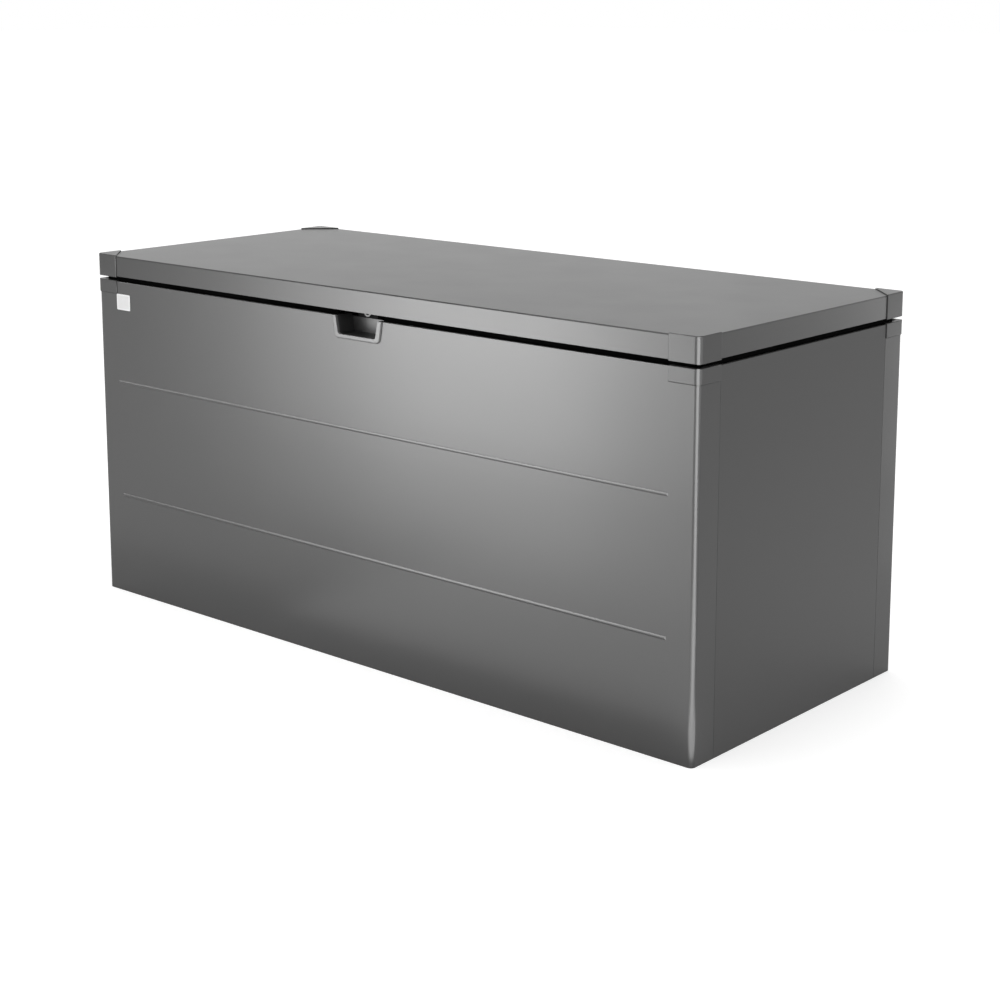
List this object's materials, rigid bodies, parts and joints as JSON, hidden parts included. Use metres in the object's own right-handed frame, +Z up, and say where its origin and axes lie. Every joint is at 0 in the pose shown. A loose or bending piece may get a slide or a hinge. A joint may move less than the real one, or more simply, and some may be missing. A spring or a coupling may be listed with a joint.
{
  "type": "outdoor storage box",
  "caption": "Long sheet-metal outdoor storage box with a rear-hinged lid on gas springs, corner caps, pressed front beads and a lockable grip recess.",
  "frame": {"origin": "middle of the footprint, on the ground under the box", "axes": "+X to the right along the long side, +Y to the rear where the hinges are, +Z up"},
  "size_m": [1.7, 0.714, 0.799],
  "materials": {
    "body_sheet": "fine metallic powder coat, semi-gloss dark grey",
    "lid_sheet": "fine metallic powder coat, semi-gloss dark grey",
    "corner_caps": "satin moulded plastic, matched dark grey",
    "grip_plastic": "satin moulded plastic, dark grey",
    "lock_plastic": "fine-grained black moulded plastic",
    "rubber": "matt black",
    "bright_metal": "polished plating",
    "floor_sheet": "galvanised",
    "stiffener_steel": "galvanised",
    "zinc_steel": "bright zinc plating",
    "spring_tube": "black satin paint",
    "spring_rod": "hard chrome, polished"
  },
  "bodies": {
    "box": {"body_cap_front_left": "corner_caps", "body_cap_front_right": "corner_caps", "body_cap_rear_left": "corner_caps", "body_cap_rear_right": "corner_caps", "bracket_screws": "zinc_steel", "floor_bearer": "floor_sheet", "floor_pan_left": "floor_sheet", "floor_pan_right": "floor_sheet", "front_panel": "body_sheet", "gas_bracket_lower_left": "zinc_steel", "gas_bracket_lower_right": "zinc_steel", "gas_studs_lower": "spring_rod", "grip_cup": "grip_plastic", "hinge_body_leaves": "zinc_steel", "hinge_pins": "zinc_steel", "rear_panel": "body_sheet", "rim_seal": "rubber", "side_panel_left": "body_sheet", "side_panel_right": "body_sheet", "strike_bracket": "zinc_steel"},
    "lid": {"gas_bracket_upper_left": "zinc_steel", "gas_bracket_upper_right": "zinc_steel", "hinge_lid_leaves": "zinc_steel", "lid_buffers": "rubber", "lid_cap_front_left": "corner_caps", "lid_cap_front_right": "corner_caps", "lid_cap_rear_left": "corner_caps", "lid_cap_rear_right": "corner_caps", "lid_panel": "lid_sheet", "lid_rail_front": "stiffener_steel", "lid_rail_rear": "stiffener_steel", "lid_rib_left": "stiffener_steel", "lid_rib_middle": "stiffener_steel", "lid_rib_right": "stiffener_steel", "lock_housing": "lock_plastic", "lock_ring": "bright_metal", "lock_screws": "zinc_steel"},
    "lock": {"lock_cam": "zinc_steel", "lock_plug": "bright_metal"},
    "gas_tube_left": {"gas_tube_left": "spring_tube"},
    "gas_rod_left": {"gas_rod_left": "spring_rod"},
    "gas_tube_right": {"gas_tube_right": "spring_tube"},
    "gas_rod_right": {"gas_rod_right": "spring_rod"}
  },
  "joints": [
    {"name": "lid_hinge", "type": "hinge", "parent": "box", "child": "lid", "pos_m": [0, 0.3525, 0.74455], "axis": [-1, 0, 0], "range_deg": [0, 80]},
    {"name": "lock_turn", "type": "hinge", "parent": "lid", "child": "lock", "pos_m": [0, -0.31, 0.748], "axis": [0, -1, 0], "range_deg": [0, 90]},
    {"name": "gas_tube_pivot_left", "type": "hinge", "parent": "box", "child": "gas_tube_left", "pos_m": [-0.808, 0.23, 0.49], "axis": [-1, 0, 0], "range_deg": [0, 17.7]},
    {"name": "gas_rod_slide_left", "type": "slide", "parent": "gas_tube_left", "child": "gas_rod_left", "axis": [0, 0, 1], "range_m": [0, 0.1235]},
    {"name": "gas_tube_pivot_right", "type": "hinge", "parent": "box", "child": "gas_tube_right", "pos_m": [0.808, 0.23, 0.49], "axis": [-1, 0, 0], "range_deg": [0, 17.7]},
    {"name": "gas_rod_slide_right", "type": "slide", "parent": "gas_tube_right", "child": "gas_rod_right", "axis": [0, 0, 1], "range_m": [0, 0.1235]}
  ],
  "couplings": [
    {"joint": "gas_tube_pivot_left", "follows": "lid_hinge", "ratio": 0.22051},
    {"joint": "gas_rod_slide_left", "follows": "lid_hinge", "m_per_rad": 0.088268},
    {"joint": "gas_tube_pivot_right", "follows": "lid_hinge", "ratio": 0.22051},
    {"joint": "gas_rod_slide_right", "follows": "lid_hinge", "m_per_rad": 0.088268}
  ]
}
